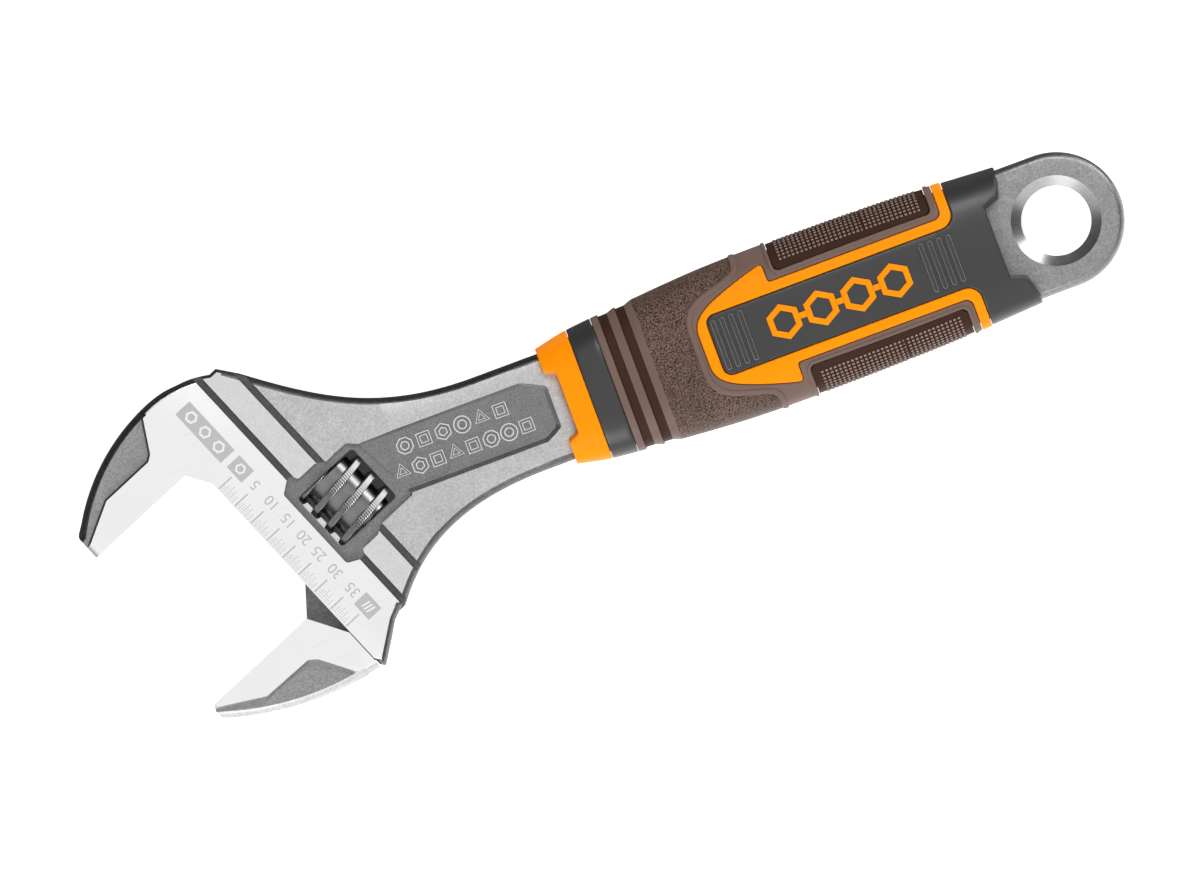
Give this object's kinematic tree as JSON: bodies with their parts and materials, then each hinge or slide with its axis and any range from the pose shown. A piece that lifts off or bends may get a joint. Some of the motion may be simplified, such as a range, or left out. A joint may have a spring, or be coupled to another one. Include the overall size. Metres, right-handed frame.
{
  "type": "adjustable wrench",
  "caption": "Wide-jaw adjustable wrench: forged head with a sliding jaw driven by a knurled worm, moulded grip and a hanging eye.",
  "frame": {"origin": "centre of the bounding box in plan, at the level the grip's back ribs rest on", "axes": "+X along the handle from the jaws to the hanging eye, +Y across it towards the fixed jaw's side, +Z out of the marked face"},
  "size_m": [0.234, 0.0736, 0.0216],
  "materials": {
    "forged_steel": "satin blasted, ground bright on the working band",
    "ground_steel": "ground bright",
    "chrome": "polished and knurled",
    "spring_steel": "oiled dark",
    "black_plastic": "fine satin",
    "orange_plastic": "fine satin",
    "brown_rubber": "soft, finely pebbled"
  },
  "bodies": {
    "frame_body": {"frame": "forged_steel", "worm_pin": "spring_steel", "worm_spring": "spring_steel", "grip_core": "black_plastic", "front_collar": "orange_plastic", "brown_sleeve": "brown_rubber", "orange_frame": "orange_plastic", "upper_pad": "brown_rubber", "lower_pad": "brown_rubber", "front_emblem": "orange_plastic", "back_emblem": "orange_plastic"},
    "jaw_body": {"moving_jaw": "ground_steel"},
    "worm_body": {"worm": "chrome"}
  },
  "joints": [
    {"name": "jaw_slide", "type": "slide", "parent": "frame_body", "child": "jaw_body", "axis": [-0.3827, 0.9239, 0], "range_m": [0, 0.0398]},
    {"name": "worm_spin", "type": "hinge", "parent": "frame_body", "child": "worm_body", "pos_m": [-0.06028, 0.00125, 0.01082], "axis": [0.3827, -0.9239, 0], "range_deg": [0, 3340]}
  ],
  "couplings": [
    {"joint": "worm_spin", "follows": "jaw_slide", "rad_per_m": 1461.2}
  ]
}
